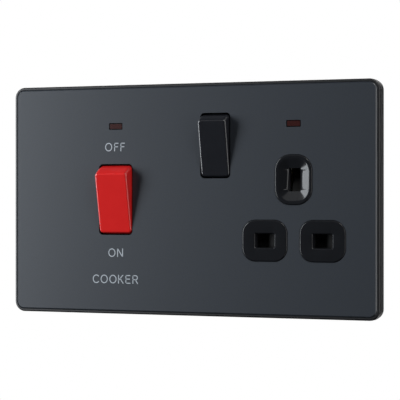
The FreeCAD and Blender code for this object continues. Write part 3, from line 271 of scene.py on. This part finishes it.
# Soda glass of the neon bulbs: clear, with the faint warm tint of its thickness.
bulbGlass = tintedLens("soda_glass_bulb", {
    "colour": "#f2e9df", "shade": "#e8ddd0", "cloudMm": 1.5, "clear": 0.9, "roughness": 0.05,
    "ior": 1.52})
# Two-part pad ink, stamped on the coating: a flat pale grey, hardly raised.
padInk = mouldedPlastic("pad_printed_ink", {
    "colour": "#aab0b6", "shade": "#a0a6ac", "grainMm": 0.15, "cloudMm": 1.0, "roughness": 0.5,
    "roughSpread": 0.04, "bump": 0.1, "bumpMm": 0.01, "edgeMm": 0.02})

finishOf = {
    "coated_face": coatedFace, "carrier_black": carrierBlack, "frame_steel": platedFrame,
    "moulding_black": blackMoulding, "base_white": whiteUrea, "rocker_red": redUrea,
    "rocker_black": blackUrea, "plunger_nylon": naturalNylon, "spring_wire": springSteel,
    "shutter_nylon": shutterNylon, "copper": rolledCopper, "brass": machinedBrass,
    "silver": contactSilver, "screw_steel": zincSteel, "lens_red": neonLens,
    "lamp_glass": bulbGlass, "resistor_body": resistorLacquer,
}
slotOf = {part["node"]: part["material_slot"] for part in frame["record"]["subparts"]}
for node, slot in slotOf.items():
    frame["nodes"][node].data.materials.clear()
    frame["nodes"][node].data.materials.append(finishOf[slot])
print("materials on every carried-over node")


# Finer pieces over some of the nodes. Their shapes are made in millimetres.

bodyOf = {node: body for body, members in frame["record"]["behaviour"]["bodies"].items()
          for node in members}


def boxOf(name):
    low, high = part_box(name)
    return Vector(low) / mm, Vector(high) / mm


def addObject(name, shape, material):
    mesh = bpy.data.meshes.new(name)
    shape.to_mesh(mesh)
    shape.free()
    mesh.materials.append(material)
    added = bpy.data.objects.new(name, mesh)
    scene.collection.objects.link(added)
    return added


def makePiece(name, shape, node, sharpAngle):
    # stands for the node: in metres, shaded smooth with its flat faces kept flat
    bmesh.ops.scale(shape, verts=shape.verts, vec=(mm, mm, mm))
    piece = addObject(name, shape, finishOf[slotOf[node]])
    piece.data.shade_smooth()
    piece.data.set_sharp_from_angle(angle=radians(sharpAngle))
    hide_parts(node)
    return piece


def finishPiece(name, shape, node, sharpAngle):
    # a rigid piece, on the body of the node that it stands for
    piece = makePiece(name, shape, node, sharpAngle)
    even = piece.modifiers.new("evenNormals", "WEIGHTED_NORMAL")
    even.keep_sharp = True
    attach(piece, bodyOf[node])


moulded = {"weld": 0.002, "sharp": 35, "names": {
    "cooker_rocker": "cooker_rocker_cap",
    "socket_rocker": "socket_rocker_cap",
    "pin_surrounds": "pin_surround_mouldings",
}}


def buildMoulded(node, look):
    # a merged copy of the solid, so that its round edges shade smoothly
    shape = bmesh.new()
    shape.from_mesh(frame["nodes"][node].data)
    bmesh.ops.scale(shape, verts=shape.verts, vec=(1 / mm, 1 / mm, 1 / mm))
    bmesh.ops.remove_doubles(shape, verts=shape.verts, dist=look["weld"])
    finishPiece(look["names"][node], shape, node, look["sharp"])


for node in moulded["names"]:
    buildMoulded(node, moulded)

terminalScrews = {
    "radius": 2.4, "slotWide": 0.9, "slotDeep": 1.1, "headBevel": 0.2, "pitch": 0.8,
    "threadDeep": 0.35, "sides": 40, "weld": 0.001, "sharp": 30,
}


def addSlottedScrew(shape, look, across, up, tip, head):
    # turned from its tip to the floor of the slot, with two D-shaped lands left beside the slot
    outer, root = look["radius"], look["radius"] - look["threadDeep"]
    floor = head - look["slotDeep"]
    profile = [(0.0, tip), (root, tip)]
    while profile[-1][1] + look["pitch"] < floor:
        rise = profile[-1][1]
        profile += [(outer, rise + look["pitch"] / 2), (root, rise + look["pitch"])]
    profile += [(outer, floor), (0.0, floor)]
    spots = [shape.verts.new((across + reach, depth, up)) for reach, depth in profile]
    chain = [shape.edges.new(pair) for pair in zip(spots, spots[1:])]
    bmesh.ops.spin(shape, geom=spots + chain, cent=(across, 0, up), axis=(0, 1, 0),
                   angle=2 * pi, steps=look["sides"], use_merge=True)
    for side in (-1, 1):
        land = bmesh.new()
        bmesh.ops.create_circle(land, cap_ends=True, segments=look["sides"], radius=outer)
        bmesh.ops.bisect_plane(
            land, geom=land.verts[:] + land.edges[:] + land.faces[:],
            plane_co=(side * look["slotWide"] / 2, 0, 0), plane_no=(side, 0, 0), clear_inner=True)
        top = bmesh.ops.extrude_face_region(land, geom=land.faces[:])["geom"]
        bmesh.ops.translate(land, verts=[v for v in top if isinstance(v, bmesh.types.BMVert)],
                            vec=(0, 0, look["slotDeep"]))
        bmesh.ops.recalc_face_normals(land, faces=land.faces)
        rim = [e for e in land.edges if all(v.co.z > look["slotDeep"] / 2 for v in e.verts)]
        bmesh.ops.bevel(land, geom=rim, offset=look["headBevel"], offset_type="OFFSET", segments=2,
                        profile=0.5, affect="EDGES", material=-1)
        stand = Matrix.Translation((across, floor, up)) @ Matrix.Rotation(-pi / 2, 4, "X")
        bmesh.ops.transform(land, matrix=stand, verts=land.verts)
        mesh = bpy.data.meshes.new("land")
        land.to_mesh(mesh)
        land.free()
        shape.from_mesh(mesh)
        bpy.data.meshes.remove(mesh)


def buildTerminalScrews(name, look):
    # one screw at each corner of the box, and half as many where they stand in a single row
    low, high = boxOf(name)
    shape = bmesh.new()
    for across in {round(low.x + look["radius"], 3), round(high.x - look["radius"], 3)}:
        for up in {round(low.z + look["radius"], 3), round(high.z - look["radius"], 3)}:
            addSlottedScrew(shape, look, across, up, low.y, high.y)
    bmesh.ops.remove_doubles(shape, verts=shape.verts, dist=look["weld"])
    bmesh.ops.recalc_face_normals(shape, faces=shape.faces)
    finishPiece(name + "_turned", shape, name, look["sharp"])


for name in ("cooker_terminal_screws", "earth_terminal_screws"):
    buildTerminalScrews(name, terminalScrews)

coil = {"stepsPerTurn": 24, "wireSides": 10, "sharp": 40}
springs = {  # the bodies at its two ends, the node that gives its axis, wire and turns
    "cooker_plunger_spring_live": {"held": "cooker_rocker", "pushed": "cooker_plungers",
                                   "line": "cooker_plunger_live", "wire": 0.5, "turns": 5},
    "cooker_plunger_spring_neutral": {"held": "cooker_rocker", "pushed": "cooker_plungers",
                                      "line": "cooker_plunger_neutral", "wire": 0.5, "turns": 5},
    "socket_plunger_spring_live": {"held": "socket_rocker", "pushed": "socket_plungers",
                                   "line": "socket_plunger_live", "wire": 0.5, "turns": 4},
    "socket_plunger_spring_neutral": {"held": "socket_rocker", "pushed": "socket_plungers",
                                      "line": "socket_plunger_neutral", "wire": 0.5, "turns": 4},
    "shutter_spring": {"held": "housing", "pushed": "shutter", "line": None, "wire": 0.4,
                       "turns": 7},
}


def buildSpring(name, look):
    # round wire wound along the solid's own axis
    spots = [vertex.co / mm for vertex in frame["nodes"][name].data.vertices]
    low, high = boxOf(name)
    middle = (low + high) / 2
    line = Vector((0, 0, 1))
    if look["line"]:
        near, far = boxOf(look["line"])
        line = ((near + far) / 2 - middle).normalized()
    reaches = [(spot - middle).dot(line) for spot in spots]
    start, end = (middle + line * reach for reach in (min(reaches), max(reaches)))
    outer = max((spot - middle - line * reach).length for spot, reach in zip(spots, reaches))
    half = look["wire"] / 2
    rise = max(reaches) - min(reaches) - look["wire"]
    steps = coil["stepsPerTurn"] * look["turns"]
    shape = bmesh.new()
    bmesh.ops.create_circle(shape, segments=coil["wireSides"], radius=half)
    bmesh.ops.rotate(shape, verts=shape.verts, cent=(0, 0, 0),
                     matrix=Matrix.Rotation(pi / 2, 3, "X"))
    bmesh.ops.translate(shape, verts=shape.verts, vec=(outer - half, 0, half))
    bmesh.ops.spin(shape, geom=shape.verts[:] + shape.edges[:], cent=(0, 0, 0), axis=(0, 0, 1),
                   dvec=(0, 0, rise / steps), angle=2 * pi * look["turns"], steps=steps)
    bmesh.ops.holes_fill(shape, edges=[edge for edge in shape.edges if edge.is_boundary], sides=0)
    bmesh.ops.recalc_face_normals(shape, faces=shape.faces)
    stand = Matrix.Translation(start) @ line.to_track_quat("Z", "X").to_matrix().to_4x4()
    bmesh.ops.transform(shape, matrix=stand, verts=shape.verts)
    piece = makePiece(name + "_coil", shape, name, coil["sharp"])
    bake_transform(piece)


for name, look in springs.items():
    buildSpring(name, look)
print("rockers, surrounds, terminal screws and springs made")


# Lettering: plain upright capitals, pad-printed on the plate

lettering = {
    "stroke": 0.108,  # share of the capitals' height
    "rise": 0.03,  # thickness of the ink in millimetres
    "words": [  # middle, height and width in millimetres, and how the gaps share what is left
        {"name": "word_off", "text": "OFF", "x": -30.5, "z": 19.8, "high": 3.2, "wide": 8.2,
         "kern": [1, 1]},
        {"name": "word_on", "text": "ON", "x": -30.2, "z": -20.1, "high": 3.2, "wide": 6.1,
         "kern": [1]},
        {"name": "word_cooker", "text": "COOKER", "x": -30.3, "z": -30.1, "high": 3.25,
         "wide": 19.0, "kern": [0.7, 0.8, 0.8, 0.8, 1]},
    ],
}


def upright(x):
    half = lettering["stroke"] / 2
    return [(x - half, 0), (x + half, 0), (x + half, 1), (x - half, 1)]


def level(left, right, middle):
    half = lettering["stroke"] / 2
    return [(left, middle - half), (right, middle - half), (right, middle + half),
            (left, middle + half)]


def slant(foot, head):
    # a leaning stroke whose ends are cut level, as wide across itself as the upright ones
    run, rise = head[0] - foot[0], head[1] - foot[1]
    half = lettering["stroke"] / 2 * (run * run + rise * rise) ** 0.5 / abs(rise)
    return [(foot[0] - half, foot[1]), (foot[0] + half, foot[1]), (head[0] + half, head[1]),
            (head[0] - half, head[1])]


def bowl(centre, reach, turns, steps=28):
    # short quads along an oval band, between two angles in degrees
    half = lettering["stroke"] / 2
    quads = []
    for step in range(steps):
        quad = []
        for corner, side in ((step, -half), (step, half), (step + 1, half), (step + 1, -half)):
            angle = radians(turns[0] + (turns[1] - turns[0]) * corner / steps)
            quad.append((centre[0] + (reach[0] + side) * cos(angle),
                         centre[1] + (reach[1] + side) * sin(angle)))
        quads.append(quad)
    return quads


def roundLetter(wide, turns):
    # an O, or part of one
    half = lettering["stroke"] / 2
    return bowl((wide / 2, 0.5), (wide / 2 - half, 0.5 - half), turns)


thin = lettering["stroke"] / 2
letters = {  # width over height, then the strokes
    "O": (0.92, roundLetter(0.92, (0, 360))),
    "C": (0.83, roundLetter(0.92, (40, 320))),
    "F": (0.56, [upright(thin), level(0, 0.56, 1 - thin), level(0, 0.5, 0.53)]),
    "E": (0.64, [upright(thin), level(0, 0.62, 1 - thin), level(0, 0.57, 0.53),
                level(0, 0.64, thin)]),
    "N": (0.76, [upright(thin), upright(0.76 - thin), slant((0.76 - thin, 0), (thin, 1))]),
    "K": (0.73, [upright(thin), slant((0.05, 0.35), (0.63, 1)), slant((0.66, 0), (0.26, 0.6))]),
    "R": (0.74, [upright(thin), level(0, 0.4, 1 - thin), level(0, 0.4, 0.48),
                 slant((0.66, 0), (0.37, 0.48)),
                 *bowl((0.4, 0.74 - thin / 2), (0.28 - thin, 0.26 - thin / 2), (-90, 90), 14)]),
}


def printWord(word, faceOut):
    room = word["wide"] / word["high"] - sum(letters[letter][0] for letter in word["text"])
    gaps = [room * share / sum(word["kern"]) for share in word["kern"]] + [0]
    shape = bmesh.new()
    across = -word["wide"] / 2
    for letter, gap in zip(word["text"], gaps):
        width, strokes = letters[letter]
        for stroke in strokes:
            spots = [((word["x"] + across + u * word["high"]) * mm, -faceOut,
                      (word["z"] + (v - 0.5) * word["high"]) * mm) for u, v in stroke]
            face = shape.faces.new([shape.verts.new(spot) for spot in spots])
            lifted = bmesh.ops.extrude_face_region(shape, geom=[face])["geom"]
            rise = (0, -lettering["rise"] * mm, 0)
            bmesh.ops.translate(
                shape, verts=[v for v in lifted if isinstance(v, bmesh.types.BMVert)], vec=rise)
        across += (width + gap) * word["high"]
    bmesh.ops.recalc_face_normals(shape, faces=shape.faces)
    piece = addObject(word["name"], shape, padInk)
    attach(piece, "housing")


faceOut = -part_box("face_plate")[0].y
for word in lettering["words"]:
    printWord(word, faceOut)
print("lettering printed")


# Floor, background, lamps and camera

stage = {
    "floorDrop": 0.3, "floorRadius": 0.42, "floorColour": "#f4f4f3", "floorRoughness": 0.9,
    "skyStrength": 0.12, "clothColour": "#0a0a0a",
}


def buildFloor():
    shape = bmesh.new()
    bmesh.ops.create_circle(shape, cap_ends=True, segments=96, radius=stage["floorRadius"])
    bmesh.ops.translate(shape, verts=shape.verts, vec=(0, 0, -stage["floorDrop"]))
    material = startMaterial("matt_white_floor")
    shader = addNode(material, "BsdfPrincipled", {
        "Base Color": fromHex(stage["floorColour"]), "Roughness": stage["floorRoughness"]})
    addNode(material, "OutputMaterial", None, {"Surface": (shader, "BSDF")})
    addObject("floor", shape, material)


def buildWorld():
    # white behind the object and in its gloss, with a dim even sky for its light
    world = bpy.data.worlds.new("studio")
    scene.world = world
    world.use_nodes = True
    world.node_tree.nodes.clear()
    rays = addNode(world, "LightPath")
    mirrored = addNode(world, "Math", {"operation": "MAXIMUM"}, {
        0: (rays, "Is Glossy Ray"), 1: (rays, "Is Transmission Ray")})
    seen = addNode(world, "Math", {"operation": "MAXIMUM"}, {
        0: (rays, "Is Camera Ray"), 1: (mirrored, "Value")})
    white = addNode(world, "Background", {"Color": (1, 1, 1, 1), "Strength": 1.0})
    soft = addNode(world, "Background", {
        "Color": (1, 1, 1, 1), "Strength": stage["skyStrength"]})
    mix = addNode(world, "MixShader", None, {
        0: (seen, "Value"), 1: (soft, "Background"), 2: (white, "Background")})
    addNode(world, "OutputWorld", None, {"Surface": (mix, "Shader")})


# Black cloths keep the dark plastics dark in their gloss. Those round the set stand between two
# turns in degrees, counted from the front towards the right. Places and sizes are metres.
flags = [
    {"name": "frontFlag", "radius": 1.3, "turns": (-42, 52), "low": -0.75, "high": 0.9},
    {"name": "rightFlag", "radius": 1.3, "turns": (100, 166), "low": -0.75, "high": 0.8},
    {"name": "leftFlag", "radius": 1.3, "turns": (-180, -110), "low": -0.75, "high": 0.8},
]
overFlags = [
    {"name": "topFlag", "place": (-0.2, 0.25, 1.1), "size": (2.2, 2.0)},
    {"name": "lowFlag", "place": (-0.15, -0.1, -0.285), "size": (0.8, 0.9)},
]


def buildFlags():
    # camera and shadow rays pass the cloth, so it is only seen in what mirrors it
    cloth = startMaterial("black_flag_cloth")
    rays = addNode(cloth, "LightPath")
    through = addNode(cloth, "Math", {"operation": "MAXIMUM"}, {
        0: (rays, "Is Camera Ray"), 1: (rays, "Is Shadow Ray")})
    dark = addNode(cloth, "BsdfDiffuse", {"Color": fromHex(stage["clothColour"])})
    clear = addNode(cloth, "BsdfTransparent")
    mix = addNode(cloth, "MixShader", None, {
        0: (through, "Value"), 1: (dark, "BSDF"), 2: (clear, "BSDF")})
    addNode(cloth, "OutputMaterial", None, {"Surface": (mix, "Shader")})
    for flag in flags:
        shape = bmesh.new()
        start, stop = (radians(turn - 90) for turn in flag["turns"])
        ends = [shape.verts.new((flag["radius"] * cos(start), flag["radius"] * sin(start), z))
                for z in (flag["low"], flag["high"])]
        side = shape.edges.new(ends)
        bmesh.ops.spin(shape, geom=[*ends, side], cent=(0, 0, 0), axis=(0, 0, 1),
                       angle=stop - start, steps=24)
        addObject(flag["name"], shape, cloth)
    for flag in overFlags:
        shape = bmesh.new()
        bmesh.ops.create_grid(shape, x_segments=1, y_segments=1, size=0.5)  # a metre square
        bmesh.ops.scale(shape, verts=shape.verts, vec=(*flag["size"], 1))
        bmesh.ops.translate(shape, verts=shape.verts, vec=flag["place"])
        addObject(flag["name"], shape, cloth)


# Soft boxes that face the object: metres and watts. The key fades across the plate from the left.
lamps = [
    {"name": "keyPanel", "place": (-0.6, -0.4, 0.08), "size": (0.32, 0.6), "power": 7.3,
     "colour": "#f3f9ff"},
    {"name": "topPanel", "place": (0.5, -0.4, 0.8), "size": (0.4, 0.3), "power": 4.0},
    {"name": "rightPanel", "place": (0.93, -0.38, 0.05), "size": (0.25, 0.8), "power": 2.3},
    {"name": "backPanel", "place": (-0.6, 0.95, 0.5), "size": (1.0, 0.8), "power": 8.0},
    {"name": "backFill", "place": (0.1, 0.9, 0.85), "size": (0.7, 0.5), "power": 4.5},
]


def buildLamps():
    for lamp in lamps:
        light = bpy.data.lights.new(lamp["name"], "AREA")
        light.shape = "RECTANGLE"
        light.size, light.size_y = lamp["size"]
        light.energy = lamp["power"]
        light.color = fromHex(lamp.get("colour", "#ffffff"))[:3]
        holder = bpy.data.objects.new(lamp["name"], light)
        scene.collection.objects.link(holder)
        holder.location = lamp["place"]
        holder.rotation_euler = (-Vector(lamp["place"])).to_track_quat("-Z", "Y").to_euler()


viewpoint = {  # place in metres, turns in degrees, lens and sensor in millimetres
    "place": (0.25203, -0.59676, 0.00084), "turn": 22.73, "tip": -0.091, "lens": 155.883,
    "sensor": 36.0, "clipStart": 0.01,
}


def buildCamera():
    data = bpy.data.cameras.new("camera")
    data.sensor_width = viewpoint["sensor"]
    data.lens = viewpoint["lens"]
    data.clip_start = viewpoint["clipStart"]
    camera = bpy.data.objects.new("camera", data)
    scene.collection.objects.link(camera)
    camera.location = viewpoint["place"]
    camera.rotation_euler = (radians(90 + viewpoint["tip"]), 0, radians(viewpoint["turn"]))
    scene.camera = camera


buildFloor()
buildWorld()
buildFlags()
buildLamps()
buildCamera()
scene.view_settings.view_transform = "Standard"
print("stage, lamps and camera ready")
